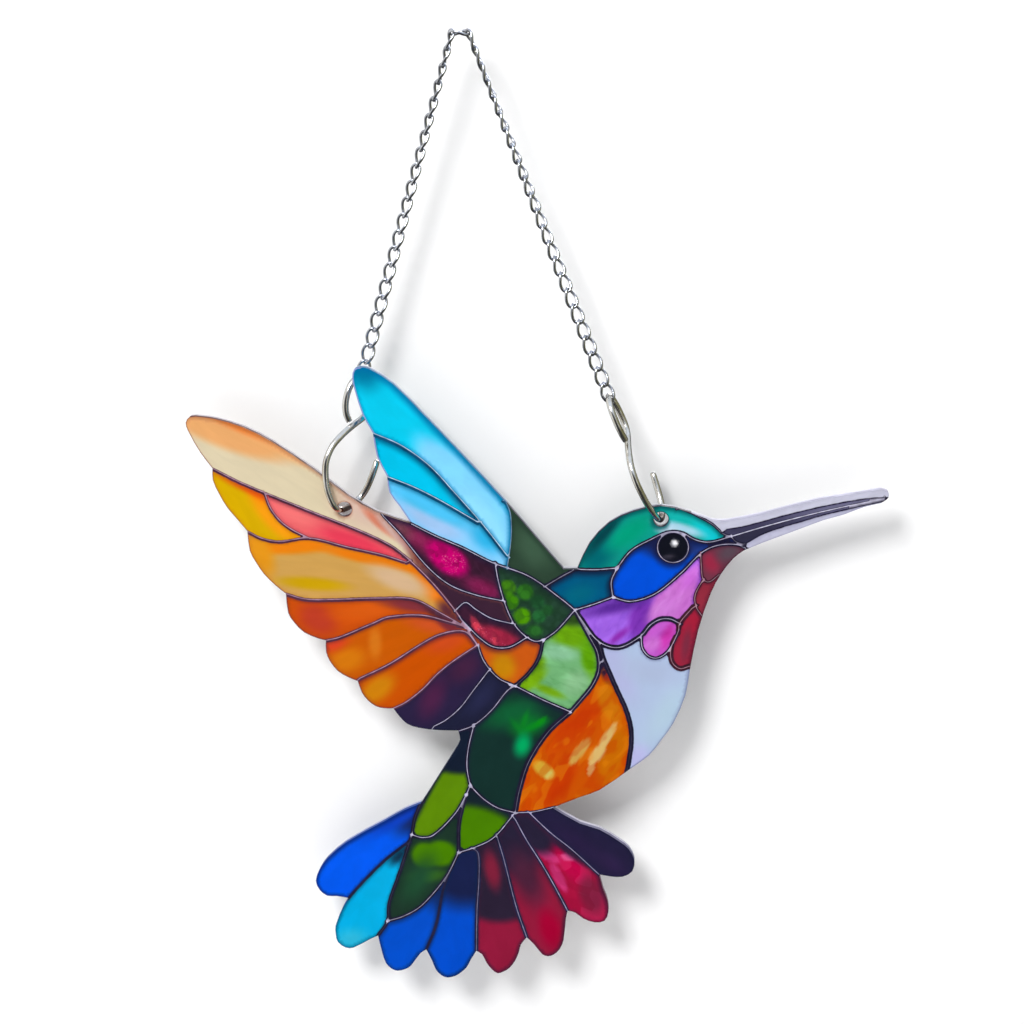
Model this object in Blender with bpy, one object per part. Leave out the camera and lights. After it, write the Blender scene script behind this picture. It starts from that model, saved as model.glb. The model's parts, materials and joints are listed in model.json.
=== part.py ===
"""Hanging suncatcher: a bird cut from one sheet of clear acrylic, hung by two
S-hooks from a length of curb chain that goes over a peg.

Metres, +Z up. The origin is where the peg bears, under the chain's top link.
The sheet stands in the XZ plane with its front towards -Y.
"""

import math

import bpy
from mathutils import Matrix, Vector

MM = 0.001
FRONT = Vector((0.0, -1.0, 0.0))

# Sheet
SHEET_THICKNESS = 3.0 * MM
HOLE_RADIUS = 1.9 * MM
HOLE_SIDES = 20
OUTLINE_STEPS = 2  # points along each span between two knots
LEFT_HOLE = (-29.4, -117.5)
RIGHT_HOLE = (49.8, -118.9)

# Chain
CHAIN_WIRE = 0.7 * MM
LINK_PITCH = 4.17 * MM
LINK_WIDTH = 3.0 * MM  # between wire centres
LINK_PLAY = 0.18 * MM  # between the wires of two links
LINK_POINTS = 12
LINK_TWIST = math.radians(45)  # each end, from the middle
LINKS_LEFT = 21
LINKS_RIGHT = 23
CREST_ROLL = math.radians(90)  # the top link lies flat on the peg
CREST_SHIFT = (0.12 * MM, 0.15 * MM, 0.29 * MM)  # inward, sideways and up, where it bends
LEFT_ROLLS = (math.radians(102), math.radians(168))  # below the crest, at the hook
RIGHT_ROLLS = (math.radians(78), math.radians(164))

# S-hooks
HOOK_WIRE = 1.6 * MM
HOOK_STEPS = 3
HOOK_PLAY = 0.5 * MM  # between the hook and the link that carries it

# The sheet's outline in millimetres (x, z), clockwise seen from the front.
# Each run is smooth, and the end of one run is a corner with the next.
NEAR_WING_TOP = (
    (-62.5, -107.5), (-65.5, -103.5), (-68.5, -98), (-69, -96), (-68, -94.5),
    (-65.5, -94.5), (-61.5, -95), (-54.5, -97), (-47.5, -100.5), (-37, -107.5),
    (-28.5, -114), (-21.5, -118), (-12.5, -121),
)
FAR_WING_ROOT = ((-12.5, -121), (-15.5, -116.5), (-18, -113), (-18.5, -109))
FAR_WING_SECOND = ((-18.5, -109), (-21, -104), (-22, -98))
FAR_WING_FIRST = (
    (-22, -98), (-24.5, -93.5), (-26.5, -87), (-27, -84), (-26.5, -82), (-25, -81.5),
    (-22.5, -82), (-17, -85.5), (-10, -92.5), (0.5, -103.5), (11, -115), (19.5, -125),
    (25.5, -132),
)
SHOULDER = ((25.5, -132), (29, -132))
CROWN_AND_BEAK_TOP = (
    (29, -132), (32, -125.5), (37, -120), (43, -117), (50, -115.5), (57, -117),
    (62.5, -119), (66.5, -119), (75.5, -117), (88, -113.5), (104, -110.5),
)
BEAK_TIP = ((104, -110.5), (105.5, -111), (106, -112), (105.5, -113), (104, -114))
BEAK_BOTTOM = (
    (104, -114), (100, -115), (95, -117), (90, -118.5), (85, -120.5), (80, -122.5),
    (75, -124.5), (70.5, -126.5),
)
THROAT_AND_BELLY = (
    (70.5, -126.5), (68, -128.5), (65, -132.5), (62.5, -137.5), (59.5, -147),
    (57.5, -157.5), (56.5, -164), (53.5, -171.5), (50.5, -176), (47.5, -180),
    (43, -183.5), (35, -189.5), (30, -191.5), (23, -194.5),
)

# The tail fans out from right to left, each feather from one notch to the next
TAIL_FEATHERS = (
    (
        (23, -194.5), (30, -198.5), (35, -200), (40, -203), (42.5, -205), (44, -208),
        (43.5, -211), (41, -212.5), (38, -212.5), (35, -212),
    ),
    (
        (35, -212), (36, -216), (37, -218.5), (37.5, -222), (36.5, -224.5), (34, -225),
        (31, -224), (29, -222.5), (27, -222),
    ),
    (
        (27, -222), (26.5, -224.5), (26, -230), (25, -232.5), (23.5, -234), (22, -234.5),
        (20.5, -234), (18.5, -231.5), (16.5, -229.5),
    ),
    (
        (16.5, -229.5), (15, -231.5), (14.5, -233.5), (13.5, -236), (12, -238),
        (10.5, -239), (9, -239.5), (7.5, -238.5), (6, -236.5), (5, -234.5), (3.5, -233.5),
    ),
    (
        (3.5, -233.5), (2, -236), (1, -238), (-0.5, -239.5), (-2, -240.5), (-4, -241),
        (-5.5, -240.5), (-7, -239), (-8, -236.5), (-9.5, -233.5),
    ),
    (
        (-9.5, -233.5), (-11, -234.5), (-13.5, -238), (-15, -239), (-17, -239.5),
        (-18.5, -239), (-20, -237.5), (-21, -234.5), (-22, -230),
    ),
    (
        (-22, -230), (-24, -231), (-28.5, -233.5), (-30.5, -233.5), (-32.5, -232),
        (-33, -230), (-33, -227.5), (-31, -222.5), (-29.5, -220),
    ),
    (
        (-29.5, -220), (-32.5, -219.5), (-35, -219.5), (-37, -218), (-38, -215.5),
        (-37, -212.5), (-35, -209.5), (-30, -205), (-20, -199), (-15, -196), (-10.5, -194),
    ),
)
RUMP = ((-10.5, -194), (-8, -190), (-5, -185), (-2, -180), (-0.5, -177), (-1, -174.5))

# The near wing's feathers, from its root out to its tip
WING_FEATHERS = (
    (
        (-1, -174.5), (-6, -174.5), (-11, -174), (-14, -173), (-16, -171), (-17.5, -169),
    ),
    (
        (-17.5, -169), (-20, -169), (-22, -168.5), (-24, -167), (-25.5, -165),
        (-26.5, -162),
    ),
    (
        (-26.5, -162), (-29, -161), (-31.5, -159.5), (-33.5, -157), (-34.5, -154.5),
        (-34.5, -151.5),
    ),
    (
        (-34.5, -151.5), (-36.5, -151), (-40, -149.5), (-42.5, -147), (-44, -144.5),
        (-44.5, -139.5),
    ),
    (
        (-44.5, -139.5), (-47, -137.5), (-50, -134.5), (-52, -131.5), (-53.5, -128.5),
        (-54, -123.5),
    ),
    (
        (-54, -123.5), (-56.5, -120.5), (-59, -117.5), (-61, -114), (-62.5, -110.5),
        (-62.5, -107.5),
    ),
)

# An S-hook in its own plane in millimetres (down from the top, across): the cut
# end of the small upper loop, the crossing, the large lower loop, its cut end.
S_SHAPE = (
    (12.5, -2), (10, -3.5), (6.5, -4), (2.5, -3), (0, 0.5), (2.5, 3.5), (7, 4.5),
    (10.5, 3.5), (14, -1.5), (16.5, -4.5), (19, -6.5), (22.5, -7.5), (26.5, -7),
    (30.5, -5.5), (34.5, -2.5), (35.5, 0), (34, 3.5), (31.5, 5.5), (27.5, 7), (23.5, 8),
)
S_LENGTH = 35.5
SQUARE_FROM = 27.0  # below this the wire bends square to the sheet
SQUARE_REACH = 1.5

# Each hook: middle of its wire at the top and in the hole, in millimetres, the
# turn of its plane from the sheet's at the upper and at the lower cut end, and
# how far the low bend is squared.
LEFT_HOOK = {
    "top": (-25.1, 4.4, -83.9), "hole": (-29.5, 0.0, -117.7), "turn": (37, 37), "square": 2.8,
}
RIGHT_HOOK = {
    "top": (36.5, 0.6, -88.3), "hole": (49.8, 0.0, -119.2), "turn": (84, 74), "square": 0.0,
}

PRINT_GLOSS = (0.02, 0.10, 0.14, 1.0)
NICKEL = (0.78, 0.77, 0.75, 1.0)


def clear_scene():
    for old in list(bpy.data.objects):
        bpy.data.objects.remove(old, do_unlink=True)


def finish(name, colour, roughness, metallic):
    """A new material with plain values on its Principled BSDF."""
    material = bpy.data.materials.new(name)
    material.use_nodes = True
    shader = material.node_tree.nodes["Principled BSDF"]
    shader.inputs["Base Color"].default_value = colour
    shader.inputs["Roughness"].default_value = roughness
    shader.inputs["Metallic"].default_value = metallic
    return material


def smooth_path(knots, steps):
    """Points of a curve through the knots, with the given steps in each span."""
    knots = [Vector(knot) for knot in knots]
    ends = [2 * knots[0] - knots[1]] + knots + [2 * knots[-1] - knots[-2]]
    path = []
    for before, start, stop, after in zip(ends, ends[1:], ends[2:], ends[3:]):
        span = (stop - start).length
        lead = (stop - before) * span / ((start - before).length + span)
        trail = (after - start) * span / ((after - stop).length + span)
        for step in range(steps):
            t = step / steps
            path.append(
                start * (2 * t ** 3 - 3 * t ** 2 + 1) + lead * (t ** 3 - 2 * t ** 2 + t)
                + stop * (3 * t ** 2 - 2 * t ** 3) + trail * (t ** 3 - t ** 2)
            )
    return path + [knots[-1]]


def outline_runs():
    """The runs of the outline, each smooth, from the near wing round to its tip."""
    return [
        NEAR_WING_TOP, FAR_WING_ROOT, FAR_WING_SECOND, FAR_WING_FIRST, SHOULDER,
        CROWN_AND_BEAK_TOP, BEAK_TIP, BEAK_BOTTOM, THROAT_AND_BELLY, *TAIL_FEATHERS, RUMP,
        *WING_FEATHERS,
    ]


def add_spline(curve, points, closed):
    spline = curve.splines.new("POLY")
    spline.points.add(len(points) - 1)
    for point, place in zip(spline.points, points):
        point.co = (*place, 1.0)
    spline.use_cyclic_u = closed


def add_object(name, data, material, collection):
    data.materials.append(material)
    piece = bpy.data.objects.new(name, data)
    collection.objects.link(piece)
    return piece


def add_sheet(collection, material):
    """The bird as a flat outline with two holes, stood up in the XZ plane."""
    curve = bpy.data.curves.new("bird_panel", "CURVE")
    curve.dimensions = "2D"
    curve.fill_mode = "BOTH"
    curve.extrude = SHEET_THICKNESS / 2
    outline = []
    for run in outline_runs():
        steps = OUTLINE_STEPS if len(run) > 2 else 1
        outline += smooth_path(run, steps)[:-1]
    add_spline(curve, [(x * MM, z * MM, 0.0) for x, z in outline], True)
    for centre_x, centre_z in (LEFT_HOLE, RIGHT_HOLE):
        ring = []
        for side in range(HOLE_SIDES):
            angle = 2 * math.pi * side / HOLE_SIDES
            x = centre_x * MM + HOLE_RADIUS * math.cos(angle)
            z = centre_z * MM + HOLE_RADIUS * math.sin(angle)
            ring.append((x, z, 0.0))
        add_spline(curve, ring, True)
    sheet = add_object("bird_panel", curve, material, collection)
    sheet.rotation_euler = (math.pi / 2, 0.0, 0.0)


def hook_point(hook, down, across, along):
    """A point of the S-shape, placed between the hook's top and its hole; along
    the wire it goes from 0 at the upper cut end to 1 at the lower one."""
    top, hole = Vector(hook["top"]), Vector(hook["hole"])
    size = (hole - top).length / S_LENGTH
    first_turn, last_turn = hook["turn"]
    turn = math.radians(first_turn + (last_turn - first_turn) * along)
    low = max(0.0, (down - SQUARE_FROM) / (S_LENGTH - SQUARE_FROM))
    squared = hook["square"] * math.tanh(across / SQUARE_REACH) * low
    side = Vector((math.cos(turn), math.sin(turn), 0.0)) * across * size
    return (top.lerp(hole, down / S_LENGTH) + side + Vector((0.0, squared, 0.0))) * MM


def add_hook(name, hook, collection, material):
    last = len(S_SHAPE) - 1
    knots = [hook_point(hook, *point, step / last) for step, point in enumerate(S_SHAPE)]
    curve = bpy.data.curves.new(name, "CURVE")
    curve.dimensions = "3D"
    curve.bevel_depth = HOOK_WIRE / 2
    curve.bevel_resolution = 2
    curve.use_fill_caps = True
    add_spline(curve, smooth_path(knots, HOOK_STEPS), False)
    add_object(name, curve, material, collection)


def link_curve():
    """One curb link along Z: an oval whose ends are turned a quarter apart."""
    curve = bpy.data.curves.new("chain_link", "CURVE")
    curve.dimensions = "3D"
    curve.bevel_depth = CHAIN_WIRE / 2
    curve.bevel_resolution = 1
    half_length = (LINK_PITCH + CHAIN_WIRE + LINK_PLAY) / 2
    ring = []
    for step in range(LINK_POINTS):
        angle = 2 * math.pi * step / LINK_POINTS
        along = math.cos(angle)
        out = LINK_WIDTH / 2 * math.sin(angle)
        twist = LINK_TWIST * along
        ring.append((out * math.cos(twist), out * math.sin(twist), half_length * along))
    add_spline(curve, ring, True)
    return curve


def strand(top_joint, hook, count):
    """Joints from the crest down to the hook, whose wire the last link carries."""
    top = Vector(hook["top"]) * MM
    down = (top - top_joint).normalized()
    past_hook = (HOOK_WIRE + CHAIN_WIRE) / 2 + HOOK_PLAY
    past_joint = (CHAIN_WIRE + LINK_PLAY) / 2
    end = top + down * (past_hook - past_joint)
    return [top_joint.lerp(end, step / count) for step in range(count + 1)]


def add_link(number, curve, start, end, roll, collection):
    """One link between two joints, turned about its length by the roll."""
    along = (end - start).normalized()
    side = along.cross(FRONT).normalized()
    frame = Matrix((side, along.cross(side), along)).transposed()
    link = bpy.data.objects.new(f"chain_link_{number:02d}", curve)
    link.location = start.lerp(end, 0.5)
    link.rotation_euler = (frame @ Matrix.Rotation(roll, 3, "Z")).to_euler()
    collection.objects.link(link)


def add_chain(collection, material):
    """The links from the left hook up over the peg and down to the right hook."""
    curve = link_curve()
    curve.materials.append(material)
    crest = Vector((0.0, 0.0, CHAIN_WIRE / 2))
    half = Vector((LINK_PITCH / 2, 0.0, 0.0))
    inward, sideways, up = CREST_SHIFT
    left = strand(crest - half + Vector((inward, sideways, up)), LEFT_HOOK, LINKS_LEFT)
    right = strand(crest + half + Vector((-inward, -sideways, up)), RIGHT_HOOK, LINKS_RIGHT)
    for step in range(LINKS_LEFT):
        roll = LEFT_ROLLS[0] + (LEFT_ROLLS[1] - LEFT_ROLLS[0]) * step / (LINKS_LEFT - 1)
        add_link(LINKS_LEFT - step, curve, left[step + 1], left[step], roll, collection)
    add_link(LINKS_LEFT + 1, curve, crest - half, crest + half, CREST_ROLL, collection)
    for step in range(LINKS_RIGHT):
        roll = RIGHT_ROLLS[0] + (RIGHT_ROLLS[1] - RIGHT_ROLLS[0]) * step / (LINKS_RIGHT - 1)
        number = LINKS_LEFT + 2 + step
        add_link(number, curve, right[step], right[step + 1], roll, collection)


def build():
    clear_scene()
    collection = bpy.data.collections.new("suncatcher")
    bpy.context.scene.collection.children.link(collection)
    add_sheet(collection, finish("printed acrylic", PRINT_GLOSS, 0.15, 0.0))
    wire = finish("bright nickel wire", NICKEL, 0.15, 1.0)
    add_hook("s_hook_left", LEFT_HOOK, collection, wire)
    add_hook("s_hook_right", RIGHT_HOOK, collection, wire)
    add_chain(collection, finish("bright nickel chain", NICKEL, 0.2, 1.0))


build()
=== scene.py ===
"""A hanging suncatcher: a clear sheet printed like leaded glass, on bent hooks and chain.

The picture is drawn in the sheet's own plane, in millimetres, x to the right and z up
from the peg. Lead lines part it into panes, and each pane is painted by its own washes.
"""

import functools
import json
import math

import bmesh
import bpy
import numpy as np
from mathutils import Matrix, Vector
from mathutils.geometry import delaunay_2d_cdt
from mathutils.kdtree import KDTree

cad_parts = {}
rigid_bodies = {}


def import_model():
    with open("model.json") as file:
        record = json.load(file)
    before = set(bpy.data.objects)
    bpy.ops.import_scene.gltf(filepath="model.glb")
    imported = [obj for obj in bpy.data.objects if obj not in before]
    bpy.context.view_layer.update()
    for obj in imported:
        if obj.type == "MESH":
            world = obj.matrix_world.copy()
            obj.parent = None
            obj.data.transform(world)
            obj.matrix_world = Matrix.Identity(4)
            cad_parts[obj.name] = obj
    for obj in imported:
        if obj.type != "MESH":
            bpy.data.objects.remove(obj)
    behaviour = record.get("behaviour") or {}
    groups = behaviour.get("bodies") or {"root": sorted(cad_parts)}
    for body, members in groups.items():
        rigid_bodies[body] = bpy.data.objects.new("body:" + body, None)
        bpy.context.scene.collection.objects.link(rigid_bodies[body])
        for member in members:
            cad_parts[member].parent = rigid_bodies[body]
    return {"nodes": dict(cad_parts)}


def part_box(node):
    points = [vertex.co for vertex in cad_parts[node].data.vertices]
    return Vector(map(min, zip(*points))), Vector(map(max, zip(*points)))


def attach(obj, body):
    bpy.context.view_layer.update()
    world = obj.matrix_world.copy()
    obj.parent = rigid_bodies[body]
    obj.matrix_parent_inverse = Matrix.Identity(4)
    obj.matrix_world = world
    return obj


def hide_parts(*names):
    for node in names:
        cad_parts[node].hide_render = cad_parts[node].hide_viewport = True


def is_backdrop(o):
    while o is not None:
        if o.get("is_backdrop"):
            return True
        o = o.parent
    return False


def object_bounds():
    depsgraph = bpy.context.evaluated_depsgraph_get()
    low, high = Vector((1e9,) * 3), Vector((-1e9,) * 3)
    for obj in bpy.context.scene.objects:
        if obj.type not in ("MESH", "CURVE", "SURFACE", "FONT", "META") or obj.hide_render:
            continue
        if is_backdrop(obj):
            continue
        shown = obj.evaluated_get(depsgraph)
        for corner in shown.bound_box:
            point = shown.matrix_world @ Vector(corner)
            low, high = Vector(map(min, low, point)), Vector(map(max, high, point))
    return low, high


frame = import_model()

CAD_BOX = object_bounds()
MM = 0.001

# Mesh of the sheet, in millimetres
GRID = 0.62  # between the points inside a pane
FINE = 0.1  # between the points that distances are taken from
LINE_SKIP = 7  # fine points to each vertex along a lead line
FLANK = 0.45  # a row of vertices at each side of a line and inside the sheet's edge
ROW_CLEARANCE = 0.8 * FLANK  # from any line to the nearest point of those rows
CLEARANCE = 0.42  # from any line to the nearest point inside a pane
WELD = 0.01  # points of the solid this near are one
SNAP = 1.6  # a line's end this near another line runs on to it
SNAP_SHARED = 0.3  # the same, for an end that already meets another end
MEETING = 0.02  # ends this near meet
SHARED_END = 10  # fine points at a line's ends that others don't run on to
OVERSHOOT = 0.3  # how far a line runs on past what it meets
FLOW_SCALE = 0.1  # from millimetres to the measure of the glass's own texture

LIGHT_FROM = (0.33, 0.94)  # the inner shadows of the panes fall away from here

# Lead of each kind: its ridge and its strip, half the ridge's width, and how far the strip
# falls below the ridge
LEAD_KINDS = {
    "sky": ("#B8D4EC", "#0A4468", 0.11, 0.34),
    "wing": ("#C49CB4", "#4A2A3C", 0.12, 0.2),
    "body": ("#BEBAD4", "#1E1A30", 0.092, 0.0),
    "tail": ("#A8A2C4", "#20203C", 0.1, 0.0),
    "throat": ("#B88C9C", "#3A1A28", 0.09, 0.0),
    "beak": ("#D6D4EA", "#1E1A30", 0.13, 0.0),
}
BLOB = 0.38  # how far the solder at a junction reaches past a ridge
BRIGHT_BLOB = 0.2  # how far past the solder the ridge is still at its brightest

# The sheet's edge along a pane: the print's margin, its width where the edge faces left,
# and the cut side
NARROW_RIM = 0.05  # the most that the margin measures where the edge faces right
EDGES = {
    "sky": ("#8C98CC", 0.36, "#2A6A94"),
    "feather": ("#7E4E4E", 0.2, "#5A3428"),
    "dark": ("#2C2A40", 0.14, "#222838"),
    "pale": ("#B8B4CC", 0.12, "#A6A4BA"),
    "red": ("#8A4A58", 0.16, "#7A4A58"),
    "blue": ("#24489A", 0.14, "#40589A"),
    "slate": ("#5A5878", 0.12, "#6A6888"),
}

# Junctions of the lead lines
NECK_BACK = (28.5, -142.5)
NECK_TOP = (39, -131.5)
NECK_FRONT = (38, -139)
BEAK_ROOT = (67.3, -123)
WING_ROOT = (4, -152)
WING_FORK = (1.1, -147.4)
HEART_TOP = (20.5, -150.5)
HEART_LEFT = (13.5, -162.5)
HEART_FOOT = (27.5, -169)
HIP = (3, -173)
THIGH = (2, -189)
VENT = (13.5, -196)
KNEE = (1, -191.5)
COVERT_LEFT = (-13, -202.5)
COVERT_MID = (-1, -207)
COVERT_TIP = (-19.5, -226)

JUNCTIONS = (
    NECK_BACK, NECK_TOP, NECK_FRONT, BEAK_ROOT, WING_ROOT, WING_FORK, HEART_TOP, HEART_LEFT,
    (12.2, -162.2), HEART_FOOT, HIP, THIGH, VENT, KNEE, COVERT_LEFT, COVERT_MID, COVERT_TIP,
    (35.4, -155.8),
)

# Lead lines: kind, half width of the strip, brightness of the ridge, then the knots
LEAD_LINES = {
    "far_wing_upper": (
        "sky", 0.42, 0.9, (-22, -98), (-15, -101), (-8, -106), (-1.5, -113), (5.5, -121),
        (11.7, -129),
    ),
    "far_wing_lower": (
        "sky", 0.42, 0.9, (-18.5, -109), (-12, -111.5), (-5, -115), (4.5, -120.5),
    ),
    "far_wing_end": ("sky", 0.35, 0.35, (11, -114.5), (12.3, -118), (12.5, -124), (11.5, -132)),
    "wing_join": (
        "body", 0.42, 1, (-12.5, -121), (-6.5, -124), (0.5, -127), (7.5, -130.5), (17, -134),
        (25.5, -140), NECK_BACK,
    ),
    "nape": ("body", 0.5, 0.5, (21, -136.5), (25.5, -133.7), (28.2, -132.2)),
    "neck_top": ("body", 0.46, 1, (29.4, -132), (34, -132), NECK_TOP),
    "neck_front": ("body", 0.46, 0.9, NECK_TOP, (37.6, -135), NECK_FRONT),
    "neck_foot": ("body", 0.46, 1, NECK_FRONT, (33, -141), NECK_BACK),
    "brow": (
        "body", 0.46, 0.9, NECK_TOP, (42.5, -127), (47.5, -124), (51.6, -122.1), (55, -122.2),
        (58.5, -124), (62, -124.5), BEAK_ROOT,
    ),
    "cheek": (
        "body", 0.46, 0.9, NECK_FRONT, (42.5, -140), (48.5, -138), (55, -132.5), (59.5, -127.7),
        (62, -126), (65, -125.1), (68.5, -125), (70.6, -125.7), (71.3, -126.4),
    ),
    "forehead": (
        "body", 0.35, 0.3, (54, -115.8), (57.5, -117.2), (62.4, -119.8), (65.5, -122.4),
        BEAK_ROOT,
    ),
    "throat_strap": (
        "body", 0.7, 0.9, NECK_BACK, (30, -144.7), (34.5, -150.5), (39.5, -152), (45, -149),
        (47.5, -146), (50, -144.5), (52.5, -144.4), (54.6, -145.4),
    ),
    "throat_first": (
        "throat", 0.36, 0.7, (59.8, -127.5), (60, -130.5), (60.5, -134), (62, -134.7),
        (64.5, -132.7),
    ),
    "throat_second": (
        "throat", 0.36, 0.7, (60.4, -134.3), (58.6, -138), (58.8, -141), (60.4, -143.5),
    ),
    "throat_third": (
        "throat", 0.7, 0.8, (58.3, -141), (54.8, -145.4), (54.5, -147.5), (52.7, -152),
        (53, -155.5), (55, -157.2), (57.4, -156.5),
    ),
    "locket": (
        "body", 0.46, 0.9, (45.2, -148.8), (45.5, -152), (47, -154), (49, -154.6),
        (51.2, -153.5), (53, -151), (54.6, -147.3),
    ),
    "breast": (
        "body", 0.62, 0.05, (34.5, -150.7), (36, -155.5), (39, -162.5), (42, -169.5),
        (43, -175.5), (42, -184.5),
    ),
    "heart_back": (
        "body", 0.46, 1, (8.5, -131), (9.2, -135), (10.7, -140.5), (13, -146), (15.5, -149),
        (18.3, -150.7), HEART_TOP,
    ),
    "heart_neck": ("body", 0.46, 0.8, HEART_TOP, (24, -147.8), NECK_BACK),
    "heart_front": (
        "body", 0.62, 0.45, NECK_BACK, (32.3, -149.5), (34.3, -153.5), (34.6, -158), (33, -162),
        (30, -166), HEART_FOOT,
    ),
    "heart_low": ("body", 0.46, 1, HEART_FOOT, (20.5, -166), HEART_LEFT),
    "heart_side": ("body", 0.5, 0.1, HEART_LEFT, (17, -159), (19.5, -155), HEART_TOP),
    "magenta_low": (
        "body", 0.36, 1, (-20, -118.7), (-15.5, -123.5), (-8.5, -132), (-3, -136.5), (3.5, -139),
        (10.7, -140.5),
    ),
    "plum_low": (
        "body", 0.36, 1, (-1.5, -143), (1, -141), (3.5, -142.7), (7.5, -145), (13.2, -146.4),
    ),
    "ruby_low": (
        "body", 0.46, 0.9, (-0.5, -145), (1.8, -147.4), (4.6, -150.2), (8, -152.4), (12, -152.4),
        (16.5, -149.8),
    ),
    "amber_low": ("body", 0.46, 0.9, WING_ROOT, (5.6, -156.2), (9.2, -160.5), HEART_LEFT),
    "wing_spine": (
        "wing", 0.42, 0.75, (-62.5, -107.5), (-55, -111.2), (-39, -117.7), (-23, -124),
        (-16, -127.8), (-8, -135.3), (-1.5, -143.3), WING_FORK, WING_ROOT,
    ),
    "coral_side": (
        "wing", 0.36, 0.8, (-49.5, -113.4), (-48, -117.5), (-45.5, -120.8), (-42.5, -123),
        (-38.4, -125),
    ),
    "barb_first": (
        "wing", 0.4, 0.7, (-54, -123.5), (-50.5, -125.2), (-46, -126), (-38.4, -125),
        (-28.5, -127.2), (-20, -129), (-13.5, -131),
    ),
    "barb_second": (
        "wing", 0.46, 0.7, (-44.5, -139.5), (-39.5, -140.8), (-33, -140.8), (-20.5, -140.2),
        (-12, -140.4), (-5, -144), WING_FORK,
    ),
    "barb_third": (
        "wing", 0.46, 0.7, (-34.5, -151.5), (-31, -150.6), (-22.5, -146.8), (-18.5, -145.1),
        (-10, -144.5), (-2.5, -146.3), WING_FORK,
    ),
    "barb_fourth": (
        "wing", 0.44, 0.75, (-26.5, -161.5), (-18.5, -157.4), (-10, -151.8), (-6, -149.6),
        (-1.5, -148.4), (1.3, -148.8), WING_ROOT,
    ),
    "barb_fifth": (
        "wing", 0.38, 0.75, (-17.5, -169), (-14.3, -167.3), (-10, -163.8), (-6, -159.5),
        (-1.5, -155.8), WING_ROOT,
    ),
    "barb_sixth": (
        "body", 0.36, 0.9, (-7.7, -173.8), (-4, -171.7), (-0.3, -168.3), (2.6, -164.3),
        (6.8, -158.6),
    ),
    "rump_side": ("body", 0.46, 0.8, HEART_LEFT, (11.5, -163.8), (7.5, -169), HIP, (-1, -174.7)),
    "thigh_back": ("body", 0.46, 0.9, HIP, (1.6, -179), (1.2, -184), THIGH),
    "thigh_low": ("body", 0.46, 1, THIGH, (5.3, -192.4), (9, -194.8), VENT),
    "thigh_front": (
        "body", 0.7, 0.25, HEART_FOOT, (22, -174.3), (17, -182.3), (14.6, -190), VENT,
    ),
    "vent_edge": ("body", 0.35, 0.9, VENT, (18, -195.7), (23.5, -194.3)),
    "covert_edge": ("body", 0.46, 0.05, (-10.5, -193.5), (-12.2, -198), COVERT_LEFT),
    "covert_first": (
        "body", 0.46, 0.9, COVERT_LEFT, (-10.4, -203.2), (-7.5, -202.5), (-2, -196.8), KNEE,
        THIGH,
    ),
    "covert_second": ("body", 0.46, 1, COVERT_MID, (3.2, -205.5), (8, -202.8), VENT),
    "covert_side": ("body", 0.5, 0.05, COVERT_MID, (-0.8, -199), KNEE),
    "covert_third": (
        "body", 0.46, 0.6, COVERT_TIP, (-15, -224.4), (-10.5, -221.4), (-4.3, -213.7),
        COVERT_MID,
    ),
    "covert_back": (
        "body", 0.45, 0.05, COVERT_LEFT, (-16.5, -213.5), (-19, -221), COVERT_TIP, (-22, -230),
    ),
    "tail_first": (
        "tail", 0.34, 0.0, (-14, -204.5), (-20.5, -210), (-27.5, -217.5), (-29.5, -220),
    ),
    "tail_second": ("tail", 0.34, 0.0, (-3.4, -212.5), (-5, -217), (-7, -227), (-9.5, -233.5)),
    "tail_third": (
        "tail", 0.45, 0.4, (2.5, -205.7), (4, -207), (4.2, -214), (3.7, -222), (3.5, -233.5),
    ),
    "tail_fourth": (
        "tail", 0.5, 0.6, (8.8, -202.2), (10.6, -208.5), (13.7, -221), (16.5, -229.5),
    ),
    "tail_fifth": (
        "tail", 0.45, 0.9, (13.3, -197.3), (16.3, -203), (20, -209), (23.5, -215.2), (27, -222),
    ),
    "tail_sixth": ("tail", 0.45, 0.95, (17, -195.8), (22.4, -201), (28, -205.5), (35, -212)),
    "beak_top": (
        "body", 0.12, 0, (65.5, -121.3), (70, -120.5), (75, -119.1), (80, -117.6), (90, -115),
        (100, -113), (105.6, -112.5),
    ),
    "beak_split": (
        "beak", 0.2, 0.9, BEAK_ROOT, (75, -120.5), (85, -117.6), (95, -115.05), (105, -112.8),
    ),
    "beak_low": (
        "body", 0.12, 0, (105.7, -113.3), (100, -114.65), (95, -115.9), (90, -117.2),
        (85, -118.8), (80, -120.4), (75, -122.3), (72.3, -123.9), (70.6, -124.9),
    ),
    "beak_base": ("body", 0.36, 0.2, BEAK_ROOT, (68.5, -124.3), (70.4, -124.9)),
}
EYE_CENTRE = (52.9, -126)
EYE_RING = 3.85  # radius of the lead round the eye
EYE_LEAD = ("body", 0.3, 0.8)


def new_pane(seed, flow, base, shade, *washes, glass="smooth", edge="dark"):
    """A pane: a point inside, the way its glass runs in degrees, its colour, its inner
    shadow (colour, reach all round, further reach below a line, strength), and the washes
    over it (colour, x, z, half length, half width, turn, softness)."""
    return {
        "seed": seed, "flow": flow, "base": base, "shade": shade, "washes": washes,
        "glass": glass, "edge": edge,
    }


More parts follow.
